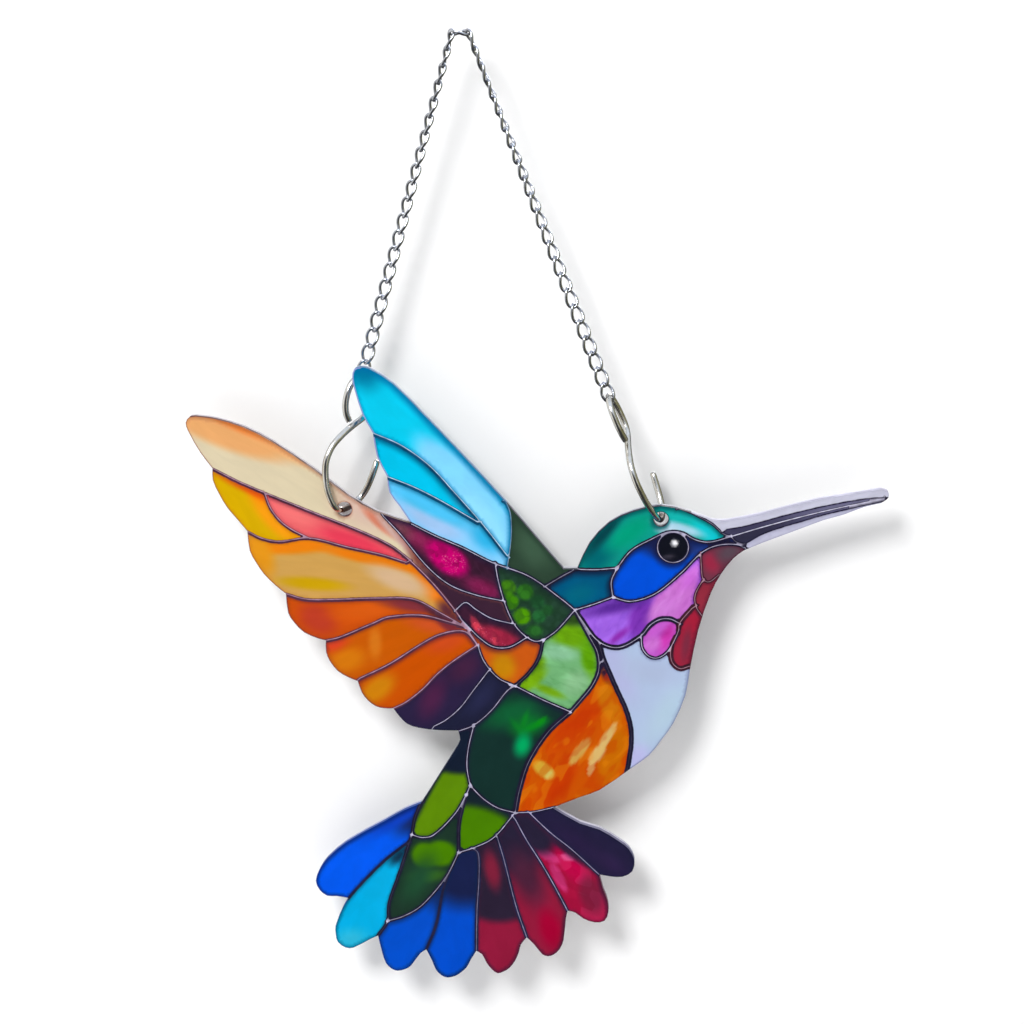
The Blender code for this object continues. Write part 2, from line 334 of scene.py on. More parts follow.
PANES = {
    "far_wing_first": new_pane(
        (-10, -97), -52, "#06C4E6", ("#00689C", 0.8, 1.5, 0.85),
        ("#7CD0FA", 2.6, -115.2, 21, 6, -50, 0.2), ("#8AD6FA", 6, -122, 11, 4, -58, 0.5),
        ("#007298", -24.5, -82.5, 4.5, 3.2, -50, 0.8), edge="sky",
    ),
    "far_wing_second": new_pane(
        (-8, -109.5), -42, "#00BEE6", ("#00486C", 0.4, 2.3, 1),
        ("#34C4F0", 1, -116, 5, 1.6, -45, 0.6), edge="sky",
    ),
    "far_wing_third": new_pane(
        (0, -122), -30, "#7CC6F4", ("#005078", 0.3, 1.8, 0.9),
        ("#9CC2EC", -7, -120.4, 8, 2.4, -30, 0.5), ("#48BCEC", -7.5, -116.4, 12, 2.2, -26, 0.5),
        ("#2CB0E4", 6.4, -124.4, 4, 2.6, -42, 0.7), edge="sky",
    ),
    "back": new_pane(
        (18, -128), -50, "#2C4233", ("#203028", 1.0, 0.6, 0.5),
        ("#3C5844", 18, -127, 5, 3, -50, 0.8),
    ),
    "wing_first": new_pane(
        (-45, -105), -33, "#D6C8A8", ("#94523C", 0.4, 0.6, 0.5),
        ("#E2A468", -60, -97.5, 18, 4.4, -22, 0.3), ("#ECA460", -43, -101, 9, 3, -34, 0.5),
        ("#E07830", -57, -96.2, 9, 1.1, -24, 0.8), ("#D2B4A4", -24, -117, 8, 5, -30, 0.8),
        ("#D07C62", -20.4, -121, 5.5, 1.2, -41, 0.5),
        ("#C4A49C", -17.5, -122.5, 6, 1.2, -48, 0.6),
        ("#B08080", -13, -126.2, 4.5, 1.6, -52, 0.6), ("#7A3E38", -10, -130.5, 4, 2, -50, 0.7),
        ("#3A2234", 2, -140.5, 14, 6, -33, 0.25), glass="streaky", edge="feather",
    ),
    "magenta": new_pane(
        (-8, -128), -38, "#381C30", ("#241C34", 0.8, 1.0, 0.8),
        ("#80204C", -11.5, -123.6, 7.5, 2.8, -40, 0.6),
        ("#703C4A", -15.6, -122, 3.6, 2, -40, 0.8), ("#BE0068", -3.5, -129.6, 6, 3.5, -40, 0.3),
        ("#7A1C4A", 5.5, -137.3, 5, 2, -25, 0.7), glass="sparkle", edge="feather",
    ),
    "yellow_feather": new_pane(
        (-56, -116), -58, "#D2A600", ("#A85820", 0.6, 0.8, 0.8),
        ("#F06C00", -48.5, -115, 11, 3, -52, 0.5), ("#F09A10", -47.5, -120.5, 7, 2, -48, 0.7),
        ("#D84A10", -52.5, -112.6, 9, 1.4, -24, 0.6), glass="streaky", edge="feather",
    ),
    "coral_feather": new_pane(
        (-38, -121), -20, "#E26064", ("#742438", 0.6, 1.1, 0.85),
        ("#E03C54", -27, -126, 10, 2.2, -20, 0.6), ("#EC7070", -42, -119, 6, 2, -25, 0.7),
        glass="streaky",
    ),
    "amber_feather": new_pane(
        (-35, -132), -8, "#C89A50", ("#A05020", 0.6, 0.7, 0.8),
        ("#E47E0C", -44, -127, 12, 2.2, 2, 0.4), ("#E2780C", -19, -130.9, 18, 1.6, -12, 0.45),
        ("#E87410", -7, -137, 6, 3, -45, 0.5), ("#CEAC86", -16, -135.5, 8, 2.6, -22, 0.5),
        ("#C69C04", -37.5, -136.8, 8, 1.5, -4, 0.6), ("#DC9018", -51, -129, 3, 6, 20, 0.6),
        ("#5A2A34", -2.4, -144.2, 4.4, 2.3, -44, 0.5), glass="streaky", edge="feather",
    ),
    "rust_feather": new_pane(
        (-30, -145), 4, "#C64C08", ("#5C2430", 0.6, 1.0, 0.85),
        ("#B83A22", -36.5, -146, 5, 3.6, -30, 0.6), ("#D4580E", -24, -143.5, 8, 2.2, 8, 0.7),
        ("#7E3038", -11, -142, 9, 1.8, -6, 0.6), ("#4A2430", -4.6, -144.4, 5.4, 1.6, -28, 0.5),
        glass="streaky", edge="feather",
    ),
    "orange_feather": new_pane(
        (-22, -152), 24, "#C25602", ("#6A2830", 0.6, 1.2, 0.85),
        ("#CE7208", -29, -156.5, 4.5, 3, 20, 0.6), ("#CE7016", -22, -152, 1.6, 4, 0, 0.6),
        ("#D44020", -32.5, -152.5, 3.5, 1.6, 20, 0.8), ("#C85020", -7, -147, 7, 2, -10, 0.7),
        ("#7A2C34", -3.2, -147.2, 3, 1.3, -30, 0.6), glass="streaky", edge="feather",
    ),
    "tangerine_feather": new_pane(
        (-15, -161), 36, "#C44E00", ("#5A1C34", 0.6, 1.6, 0.9),
        ("#C87C08", -21.5, -164, 5, 2.8, 40, 0.6), ("#C84818", -4, -151.5, 5, 2.2, 20, 0.7),
        glass="streaky", edge="feather",
    ),
    "maroon_feather": new_pane(
        (-8, -166), 40, "#2A2040", ("#20203A", 0.8, 0.6, 0.7),
        ("#4A2044", -7.5, -166, 5, 2.6, 65, 0.8), ("#40203E", 0.5, -158, 4.5, 2.8, 40, 0.8),
    ),
    "slate_strip": new_pane(
        (4, -167), 45, "#1E2038", ("#1A1C30", 0.6, 0.4, 0.6),
        ("#262848", 5, -165.5, 5, 2, 50, 0.8),
    ),
    "ruby": new_pane(
        (8, -149), -66, "#3A1C30", ("#241C34", 0.7, 1.0, 0.8),
        ("#9E2440", 9, -149.8, 6, 2.2, -20, 0.4), ("#D03C50", 3.4, -146.8, 2.2, 0.6, -68, 0.6),
        ("#C83A50", 4.8, -147.6, 2.4, 0.4, -62, 0.6), ("#C83A50", 8.3, -150.6, 2, 0.5, -85, 0.6),
        glass="sparkle",
    ),
    "heart_shade": new_pane(
        (18, -140), 0, "#234030", ("#1C2430", 0.7, 1.2, 0.9),
        ("#3C7814", 11.6, -137.1, 2.1, 2.1, 0, 0.2), ("#2D6E1E", 16, -138.1, 2.1, 2.1, 0, 0.2),
        ("#3C820A", 12.5, -140.7, 1.9, 1.9, 0, 0.2), ("#4B9105", 15.3, -144.3, 2.1, 2.1, 0, 0.2),
        ("#236432", 19.5, -144.3, 1.7, 1.7, 0, 0.25),
        ("#1E502D", 19.1, -140.6, 1.8, 1.8, 0, 0.3), ("#235A2D", 21.6, -142.6, 1.4, 1.4, 0, 0.3),
        ("#286428", 18.4, -148, 2, 1.5, 0, 0.4), glass="bubbly",
    ),
    "amber_heart": new_pane(
        (10, -156), 0, "#C65610", ("#5C2430", 0.6, 1.7, 0.9),
        ("#BE7E04", 10.5, -157.5, 3, 3.6, 10, 0.6),
    ),
    "lime_heart": new_pane(
        (26, -158), -20, "#6EAC72", ("#1E3A20", 0.6, 0.8, 0.9),
        ("#649C0A", 27.5, -149, 5, 3.4, -10, 0.5), ("#5EA008", 32, -155, 5, 1.8, -80, 0.6),
        ("#70A20A", 17.5, -161, 4.5, 1.8, 40, 0.5), ("#66980E", 19, -157, 2.6, 1.6, 50, 0.6),
        ("#72A614", 22, -163.6, 4, 1, -22, 0.6), ("#84BC92", 24.5, -153.5, 4.6, 2.0, -8, 0.5),
        ("#84B886", 29, -161.5, 3.4, 3.0, 40, 0.6), ("#2E4A1C", 28.2, -144.6, 3.2, 1.9, 0, 0.6),
        glass="marbled",
    ),
    "nape_teal": new_pane(
        (32, -136), 0, "#00547C", ("#141C38", 0.8, 2.0, 0.95),
        ("#00607A", 29.5, -138.5, 4, 2.4, 20, 0.7),
    ),
    "crown": new_pane(
        (45, -121), 30, "#0A9484", ("#044C50", 0.5, 1.3, 0.85),
        ("#00666E", 34, -128.8, 5, 3.2, 50, 0.8), ("#009876", 42, -122.6, 6, 2.4, 36, 0.7),
        ("#12B0AA", 56, -118.8, 8, 2.4, -14, 0.6), ("#0CC0CA", 62, -122.6, 4.6, 1.8, -36, 0.6),
        ("#A4D0E2", 54.4, -121.2, 6, 1.4, -14, 0.5),
        ("#BCD8E8", 51.4, -121.6, 2.6, 1.2, -4, 0.6), ("#063E46", 36, -122, 8, 1.6, 52, 0.7),
    ),
    "cheek_blue": new_pane(
        (47, -131), 30, "#004CD2", ("#161C44", 0.8, 1.8, 0.95),
        ("#2448A4", 58.5, -126.6, 3, 1.2, 10, 0.8), ("#1A2048", 52, -125, 7, 3.6, 0, 0.5),
        ("#161A30", 65, -124.7, 5, 1.2, -8, 0.4),
    ),
    "eye": new_pane(
        (51, -128), 0, "#12141E", ("#0A0C14", 0.4, 0, 0.5),
        ("#F4F4F8", 53.3, -124.9, 0.8, 0.8, 0, 0.5),
        ("#3C3844", 51.8, -128.4, 1.4, 0.5, 10, 0.9),
    ),
    "throat_violet": new_pane(
        (40, -146), 62, "#9A5EDC", ("#54288C", 0.5, 0.9, 0.8),
        ("#7832AE", 45.3, -144, 3, 5.4, -20, 0.4), ("#5A2A96", 39, -141.4, 8, 1.5, 14, 0.8),
        ("#8A2CAA", 39.6, -149, 3, 0.8, 40, 0.8), ("#C46ECA", 53.5, -139.5, 8.5, 4.6, 56, 0.22),
        ("#C878D0", 50.5, -142.3, 4, 2, 40, 0.8), ("#C868D4", 57.8, -133, 3.6, 1.5, 60, 0.7),
        glass="marbled",
    ),
    "locket": new_pane(
        (49, -150), 40, "#C05AC8", ("#6A2468", 0.5, 0.6, 0.85),
        ("#C034A4", 51.6, -149.2, 1.4, 3.4, -25, 0.7), ("#C86ECC", 48, -151, 2, 1.6, 30, 0.7),
        glass="marbled",
    ),
    "throat_red_first": new_pane(
        (64, -129), -60, "#6C3446", ("#401C2C", 0.5, 0.9, 0.8),
        ("#942842", 62.4, -129.8, 2.6, 1.9, -60, 0.7), ("#564450", 67, -127, 2, 3, -60, 0.8),
        edge="red",
    ),
    "throat_red_second": new_pane(
        (61, -138), -70, "#8E2A3C", ("#48182C", 0.5, 0.8, 0.8), edge="red",
    ),
    "throat_red_third": new_pane(
        (56.5, -150), -75, "#98223A", ("#48182C", 0.5, 1.0, 0.85),
        ("#A21E38", 58, -145.5, 2, 4, 0, 0.8), ("#7A2A40", 56.5, -151, 1, 4, -8, 0.8),
        edge="red",
    ),
    "belly": new_pane(
        (48, -165), 80, "#ACBEDC", ("#5E648E", 0.35, 0.9, 0.75),
        ("#AEB2DA", 39.5, -158, 3, 8, 25, 0.8), ("#AEC6DA", 52, -169, 8, 3.2, 60, 0.8),
        ("#B4B4E0", 44.5, -180.5, 3, 3, 0, 0.8), ("#AAB8D6", 47, -158, 7, 3, -10, 0.8),
        glass="opal", edge="pale",
    ),
    "flame": new_pane(
        (30, -180), 56, "#C65000", ("#7A2418", 0.5, 0.7, 0.85),
        ("#C23C00", 29, -172, 9, 3.4, 50, 0.5), ("#C46C04", 37.4, -166.5, 5.5, 2.6, -70, 0.3),
        ("#C03800", 24.5, -187.5, 8, 3, 60, 0.5), ("#C26600", 38.2, -180, 8, 3, 72, 0.4),
        ("#C89A48", 29.9, -179.4, 4.4, 1.2, 55, 0.18), ("#D2AE68", 36.7, -175.8, 5, 1, 60, 0.18),
        ("#D2AE68", 34.4, -180, 3, 1.5, 52, 0.18), ("#D2AE68", 33, -183, 3, 0.8, 74, 0.18),
        ("#CCA030", 20.8, -184.4, 3.2, 1.8, -38, 0.25),
        ("#C8B45A", 22.2, -185.8, 1.4, 0.8, 50, 0.4),
        ("#2A1A34", 35.2, -155.4, 5.4, 1.4, -72, 0.4), glass="flame", edge="red",
    ),
    "thigh": new_pane(
        (10, -180), 60, "#14302C", ("#1A1C34", 0.8, 1.3, 0.9),
        ("#0F5A32", 12.6, -169.8, 7, 3.4, 15, 0.8), ("#0A6E28", 16.6, -173, 4, 2.6, 20, 0.7),
        ("#088420", 18.6, -172.8, 3.2, 0.8, 24, 0.8), ("#0A8A14", 20, -171.6, 1.8, 0.5, 38, 0.7),
        ("#0A7A22", 15.8, -171.8, 2.6, 0.6, 72, 0.8),
        ("#0A7426", 14.2, -173.4, 2.4, 0.7, 130, 0.8),
        ("#00A05A", 15.4, -178, 1.9, 2.9, -16, 0.7),
    ),
    "covert_first": new_pane(
        (-5, -192), 62, "#5A8604", ("#141E30", 0.7, 0.4, 0.9),
        ("#141E30", 0, -176, 10, 15, 90, 0.1), ("#141E30", -10.4, -193, 9, 1.2, 66, 0.6),
    ),
    "covert_second": new_pane(
        (4, -200), 40, "#16242C", ("#141E30", 0.6, 0.3, 0.9),
        ("#467C00", 3.2, -204.4, 14, 9.6, -16, 0.14),
    ),
    "covert_third": new_pane(
        (-12, -215), 62, "#1C3428", ("#141E30", 0.7, 0.4, 0.9),
        ("#467E00", -9.8, -208, 3.2, 3.4, 20, 0.25),
        ("#467E00", -5.8, -207.4, 4.2, 3.4, 6, 0.25), ("#36681A", -8.8, -213.4, 4, 1.5, 8, 0.8),
        ("#1E4A30", -11.5, -214.5, 3, 6, -30, 0.9),
    ),
    "tail_azure": new_pane(
        (-28, -208), 36, "#0056E8", ("#0A2468", 1.0, 0.8, 0.9),
        ("#1A2048", -9.5, -196, 8.5, 4, 36, 0.6), ("#0A3CB8", -15, -197.5, 9, 1.6, 33, 0.8),
        edge="blue",
    ),
    "tail_cyan": new_pane(
        (-25, -222), 54, "#00A8DC", ("#03506E", 0.8, 0.9, 0.9),
        ("#2AB4D8", -29, -231, 4, 2.4, 10, 0.8), ("#103048", -15.5, -207, 4.5, 1.8, 50, 0.5),
        edge="blue",
    ),
    "tail_blue": new_pane(
        (-12, -230), 62, "#004CC6", ("#102A5C", 0.8, 1.6, 0.9),
        ("#162450", -3.5, -215, 7.5, 3.4, 60, 0.5), edge="blue",
    ),
    "tail_cobalt": new_pane(
        (-2, -225), 84, "#004AC6", ("#102448", 1.2, 0.4, 0.85),
        ("#182048", 1, -204, 17.5, 14, 88, 0.22), edge="blue",
    ),
    "tail_crimson": new_pane(
        (8, -225), 92, "#8E1839", ("#3A1C34", 1.1, 0.3, 0.85),
        ("#2A2034", 8.6, -205, 20.5, 17, 96, 0.07), ("#7A1E37", 7.6, -211.5, 5, 1.9, 100, 0.6),
        edge="red",
    ),
    "tail_scarlet": new_pane(
        (18, -222), 112, "#8E1838", ("#3A1C34", 1.0, 0.8, 0.85),
        ("#262036", 12.5, -203.5, 10, 6, 112, 0.3), ("#4A2038", 16.4, -213, 7, 3.4, 112, 0.8),
        ("#A20030", 22.6, -227, 5, 2.6, 105, 0.6), edge="red",
    ),
    "tail_magenta": new_pane(
        (27, -214), 130, "#A40E3A", ("#3A1C34", 0.7, 1.0, 0.85),
        ("#BC0044", 27.9, -209.8, 6, 2.4, 128, 0.5),
        ("#C43070", 22, -207.4, 3.2, 1.3, 150, 0.25),
        ("#C43070", 24.6, -213, 4.4, 1.2, 118, 0.25), ("#D04880", 27, -207.6, 1.8, 1, 170, 0.25),
        ("#7A1A38", 33, -217.6, 5, 3, 104, 0.4), ("#262036", 17.5, -200, 8, 4.4, 128, 0.3),
        ("#2E2038", 26.2, -203.2, 9.8, 2.5, 138, 0.3), glass="facet", edge="red",
    ),
    "tail_slate": new_pane(
        (35, -204), 145, "#231E3C", ("#1A1C34", 0.5, 0.5, 0.7),
        ("#281E40", 30, -204, 6, 2, 145, 0.9), ("#2C2044", 38, -209, 4, 2, 145, 0.9),
        edge="slate",
    ),
    "beak_upper": new_pane(
        (85, -116.8), 15, "#5E5C7A", ("#2E2C48", 0.3, 0.2, 0.5),
        ("#3E3C56", 68, -121.5, 14, 5, 15, 0.8), ("#6E6C88", 104, -113, 16, 4, 14, 0.8),
        glass="pearl",
    ),
    "beak_lower": new_pane(
        (80, -119.7), 15, "#4E4C6A", ("#26263C", 0.3, 0.2, 0.5),
        ("#302F44", 70, -123, 14, 5, 15, 0.8), ("#605E7A", 104, -113.5, 16, 4, 14, 0.8),
        glass="pearl",
    ),
    "margin_upper": new_pane(
        (76, -117.6), 15, "#C2C2D4", ("#A6A4BC", 0.3, 0, 0.4), glass="pearl", edge="pale",
    ),
    "margin_lower": new_pane(
        (80, -121.6), 15, "#BEBED4", ("#8C8AA8", 0.5, 0.6, 0.6), glass="pearl", edge="pale",
    ),
}


def new_object(name, data):
    """Puts new data into the scene."""
    made = bpy.data.objects.new(name, data)
    bpy.context.scene.collection.objects.link(made)
    return made


# --- Drawing the picture in the plane of the sheet, in millimetres ---

def smooth_path(knots, spacing):
    """Points about a given spacing apart on a curve through the knots."""
    knots = [Vector(knot) for knot in knots]
    ends = [2 * knots[0] - knots[1]] + knots + [2 * knots[-1] - knots[-2]]
    path = []
    for before, start, stop, after in zip(ends, ends[1:], ends[2:], ends[3:]):
        span = (stop - start).length
        lead = (stop - before) * span / ((start - before).length + span)
        trail = (after - start) * span / ((after - stop).length + span)
        steps = max(1, round(span / spacing))
        for step in range(steps):
            t = step / steps
            path.append(
                start * (2 * t ** 3 - 3 * t ** 2 + 1) + lead * (t ** 3 - 2 * t ** 2 + t)
                + stop * (3 * t ** 2 - 2 * t ** 3) + trail * (t ** 3 - t ** 2)
            )
    return path + [knots[-1]]


def sides(ring):
    """Each member of a closed ring with the next."""
    return zip(ring, ring[1:] + ring[:1])


def edge_key(start, stop):
    """A mesh edge, whichever way it is walked."""
    return tuple(sorted((start, stop)))


def corners_of(faces):
    return sorted({vertex for face in faces for vertex in face})


def faces_front(face):
    return face.normal.y < -0.9


def sheet_loops():
    """The front face's outer edge and the edges of its holes, the longest first."""
    mesh = bmesh.new()
    mesh.from_mesh(frame["nodes"]["bird_panel"].data)
    bmesh.ops.remove_doubles(mesh, verts=mesh.verts, dist=WELD * MM)
    after = {}
    for face in filter(faces_front, mesh.faces):
        for loop in face.loops:
            if not all(map(faces_front, loop.edge.link_faces)):
                after[loop.vert] = loop.link_loop_next.vert
    loops = []
    while after:
        start = next(iter(after))
        ring, vertex = [], start
        while vertex in after:
            ring.append(Vector((vertex.co.x, vertex.co.z)) / MM)
            vertex = after.pop(vertex)
        loops.append(ring)
    mesh.free()
    return sorted(loops, key=len, reverse=True)


def finer(ring, spacing):
    """A closed ring with its long sides divided."""
    points = []
    for start, stop in sides(ring):
        steps = max(1, math.ceil((stop - start).length / spacing))
        points += [start.lerp(stop, step / steps) for step in range(steps)]
    return points


def inside(points, ring):
    """Whether each point is inside a closed ring."""
    x, z = points[:, 0], points[:, 1]
    within = np.zeros(len(points), bool)
    for start, stop in sides(ring):
        crosses = (start.y > z) != (stop.y > z)
        run = (stop.x - start.x) * (z - start.y) / ((stop.y - start.y) or 1)
        within ^= crosses & (x < start.x + run)
    return within


def tree_of(points):
    tree = KDTree(len(points))
    for index, point in enumerate(points):
        tree.insert((point[0], point[1], 0), index)
    tree.balance()
    return tree


def nearest(tree, point):
    """The point of a tree nearest to another, its index and how far off it is."""
    return tree.find((point[0], point[1], 0))


def meet_neighbours(paths, loops):
    """Runs each line's ends on to whatever they reach or nearly reach, and just past it."""
    borders = [point for ring in loops for point in finer(ring, FINE)]
    ends = {name: (path[0].copy(), path[-1].copy()) for name, path in paths.items()}
    for name, path in paths.items():
        others = [other for other in paths if other != name]
        stretches = [paths[other][SHARED_END:-SHARED_END] for other in others]
        tree = tree_of(borders + [point for stretch in stretches for point in stretch])
        for end, inner in ((0, 3), (-1, -4)):
            tip = path[end]
            shared = any((tip - far).length < MEETING for other in others for far in ends[other])
            place, _, distance = nearest(tree, tip)
            if distance > (SNAP_SHARED if shared else SNAP):
                continue
            target = Vector(place[:2])
            run_on = target + (target - path[inner]).normalized() * OVERSHOOT
            more = [target, target.lerp(run_on, 0.5), run_on]
            if end == 0:
                path[:1] = reversed(more)
            else:
                path[-1:] = more


def draw_lines(loops):
    """Every lead line as finely spaced points, with its kind, half width and shine."""
    paths = {name: smooth_path(line[3:], FINE) for name, line in LEAD_LINES.items()}
    meet_neighbours(paths, loops)
    facts = {name: line[:3] for name, line in LEAD_LINES.items()}
    ring = []
    for step in range(round(2 * math.pi * EYE_RING / FINE) + 1):
        angle = step * FINE / EYE_RING
        ring.append(Vector(EYE_CENTRE) + EYE_RING * Vector((math.cos(angle), math.sin(angle))))
    paths["eye_ring"] = ring + ring[:1]
    facts["eye_ring"] = EYE_LEAD
    return paths, facts


def grid_points(lower, upper):
    """Points of a triangular grid over a box."""
    row_height = GRID * math.sqrt(3) / 2
    points = []
    for row in range(math.ceil((upper[1] - lower[1]) / row_height)):
        shift = GRID / 2 * (row % 2)
        for column in range(math.ceil((upper[0] - lower[0]) / GRID)):
            points.append((lower[0] + shift + column * GRID, lower[1] + row * row_height))
    return np.array(points)


def rows_beside(path):
    """Points at each side of a path, a flank's width away."""
    beside = []
    for before, point, after in zip(path, path[1:], path[2:]):
        along = (after - before).normalized()
        beside += [point + side * FLANK * Vector((-along.y, along.x)) for side in (-1, 1)]
    return beside


def mesh_plane(loops, paths):
    """Triangles over the sheet, with every line and edge kept as mesh edges."""
    vertices, edges, beside = [], [], []
    for ring in loops:
        start = len(vertices)
        ring = finer(ring, GRID)
        vertices += ring
        edges += [(start + i, start + (i + 1) % len(ring)) for i in range(len(ring))]
        beside += rows_beside(ring + ring[:2])
    for path in paths.values():
        start = len(vertices)
        kept = path[:2] + path[2:-2:LINE_SKIP] + path[-2:]
        vertices += kept
        edges += [(start + i, start + i + 1) for i in range(len(kept) - 1)]
        beside += rows_beside(kept)
    borders = [point for ring in loops for point in finer(ring, FINE)]
    borders += [point for path in paths.values() for point in path]
    tree = tree_of(borders)
    clear_of_lines = [point for point in beside if nearest(tree, point)[2] > ROW_CLEARANCE]
    corners = np.array([tuple(point) for point in loops[0]])
    grid = grid_points(corners.min(0), corners.max(0))
    grid = grid[inside(grid, loops[0])]
    tree = tree_of(borders + clear_of_lines)
    inner = [Vector(point) for point in grid if nearest(tree, point)[2] > CLEARANCE]
    made = delaunay_2d_cdt(vertices + clear_of_lines + inner, edges, [], 0, 1e-5, True)
    points, made_edges, faces, _, edge_sources, _ = made
    kept_edges = {edge_key(*edge) for edge, source in zip(made_edges, edge_sources) if source}
    return np.array([tuple(point) for point in points]), faces, kept_edges


def split_regions(faces, walls):
    """A region number for each triangle: regions meet only at the walls."""
    beside = {}
    for index, face in enumerate(faces):
        for side in sides(face):
            beside.setdefault(edge_key(*side), []).append(index)
    region = [-1] * len(faces)
    count = 0
    for first in range(len(faces)):
        if region[first] >= 0:
            continue
        region[first], waiting = count, [first]
        while waiting:
            for side in sides(faces[waiting.pop()]):
                edge = edge_key(*side)
                if edge in walls:
                    continue
                for other in beside[edge]:
                    if region[other] < 0:
                        region[other] = count
                        waiting.append(other)
        count += 1
    return np.array(region)


def name_panes(points, faces, region, loops):
    """The pane of each triangle, from the seeds, and None outside the sheet."""
    centres = points[np.array(faces)].mean(1)
    pane_of = {}
    for name, pane in PANES.items():
        part = region[np.argmin(np.hypot(*(centres - np.array(pane["seed"])).T))]
        if part in pane_of:
            print("two panes in one region:", name, pane_of[part])
        pane_of[part] = name
    on_sheet = inside(centres, loops[0])
    for hole in loops[1:]:
        on_sheet &= ~inside(centres, hole)
    names = []
    tree = tree_of([centre for centre, part in zip(centres, region) if part in pane_of])
    owners = [part for part in region if part in pane_of]
    for centre, part, shown in zip(centres, region, on_sheet):
        if not shown:
            names.append(None)
        elif part in pane_of:
            names.append(pane_of[part])
        else:
            names.append(pane_of[owners[nearest(tree, centre)[1]]])
    return names


# --- Painting the panes ---

def srgb(code):
    """Red, green and blue of a hex colour, as the eye reads them."""
    return np.array([int(code[place:place + 2], 16) / 255 for place in (1, 3, 5)])


def linear(colour):
    """The same as amounts of light."""
    return np.where(colour < 0.04045, colour / 12.92, ((colour + 0.055) / 1.055) ** 2.4)


@functools.cache
def light(code):
    """A hex colour as a material's colour."""
    return (*linear(srgb(code)), 1.0)


def grey(value):
    return (value, value, value, 1.0)


def ease(value):
    value = np.clip(value, 0, 1)
    return value * value * (3 - 2 * value)


def turned(places, centre, degrees):
    """Places as seen from a centre, along and across a direction."""
    c, s = math.cos(math.radians(degrees)), math.sin(math.radians(degrees))
    away = places - np.array(centre)
    return away[:, 0] * c + away[:, 1] * s, away[:, 1] * c - away[:, 0] * s


def paint(pane, places, borders):
    """The colour of a pane at each place: its base, its washes and its inner shadow."""
    colour = np.tile(srgb(pane["base"]), (len(places), 1))
    for code, x, z, half_length, half_width, turn, softness in pane["washes"]:
        along, across = turned(places, (x, z), turn)
        from_middle = np.hypot(along / half_length, across / half_width)
        cover = ease((1 + softness - from_middle) / (2 * softness))
        colour += cover[:, None] * (srgb(code) - colour)
    code, around, below, strength = pane["shade"]
    away = borders[None] - places[:, None]
    distance = np.hypot(away[..., 0], away[..., 1])
    above = np.clip(away @ np.array(LIGHT_FROM) / np.maximum(distance, 0.01), 0, 1)
    shadow = strength * ease(1 - distance / (around + below * above)).max(1)
    return linear(colour + shadow[:, None] * (srgb(code) - colour))


def border_points(points, faces, walls):
    """Points along the edges that part one pane from its neighbours."""
    spots = []
    for face in faces:
        for start, stop in sides(face):
            if edge_key(start, stop) in walls:
                spots += [points[start] * (1 - t) + points[stop] * t for t in (0, 0.25, 0.5, 0.75)]
    return np.array(spots)


def paint_panes(points, faces, names, walls):
    """The colour of every pane at each of its vertices."""
    colours = {}
    for name, pane in PANES.items():
        chosen = [face for face, owner in zip(faces, names) if owner == name]
        used = corners_of(chosen)
        painted = paint(pane, points[used], border_points(points, chosen, walls))
        colours[name] = dict(zip(used, painted))
    return colours


def edge_at(places, loops):
    """Distance from each place to the sheet's edge, and whether that edge faces left."""
    spots, ways = [], []
    for ring in loops:
        ring = finer(ring, FINE)
        spots += ring
        ways += [stop - start for start, stop in zip(ring[-1:] + ring, ring[1:] + ring[:1])]
    tree = tree_of(spots)
    distances, leftward = [], []
    for place in places:
        _, index, distance = nearest(tree, place)
        distances.append(distance)
        leftward.append(ways[index].y < 0)
    return np.array(distances), np.array(leftward)


def lead_at(places, paths, facts):
    """The lead at each place: distance from the ridge in half ridges, distance outside the
    strip, the ridge's shine, and the kind of the line."""
    spots, owners = [], []
    for name, path in paths.items():
        spots += path
        owners += [facts[name]] * len(path)
    tree = tree_of(spots)
    lead, kinds = [], []
    for x, z in places:
        spot, index, distance = nearest(tree, (x, z))
        kind, half, shine = owners[index]
        _, _, ridge_half, drop = LEAD_KINDS[kind]
        strip = math.hypot(
            x - spot[0] + drop * LIGHT_FROM[0], z - spot[1] + drop * LIGHT_FROM[1]
        )
        solder = min(math.hypot(x - end[0], z - end[1]) for end in JUNCTIONS) - BLOB
        if solder < BRIGHT_BLOB:
            shine = 1
        lead.append((max(0, min(distance, solder)) / ridge_half, strip - half, shine))
        kinds.append(kind)
    return np.array(lead), kinds


def add_colours(mesh, name, domain, colours):
    layer = mesh.color_attributes.new(name, "FLOAT_COLOR", domain)
    layer.data.foreach_set("color", np.array(colours, np.float32).ravel())


def slab_faces(faces, names, place_of):
    """The front, back and cut sides of the slab: each face's vertices, the pane it belongs
    to, and the points of the plane that its corners stand for."""
    count = len(place_of)
    slab, owners, corners = [], [], []
    single = {}
    for face, name in zip(faces, names):
        front = [place_of[vertex] for vertex in face]
        slab += [front, [vertex + count for vertex in reversed(front)]]
        owners += [name, name]
        corners += [face, list(reversed(face))]
        for start, stop in sides(face):
            edge = edge_key(start, stop)
            single[edge] = None if edge in single else (start, stop, name)
    for start, stop, name in filter(None, single.values()):
        a, b = place_of[start], place_of[stop]
        slab.append([b, a, a + count, b + count])
        owners.append(name)
        corners.append([stop, start, start, stop])
    return slab, owners, corners


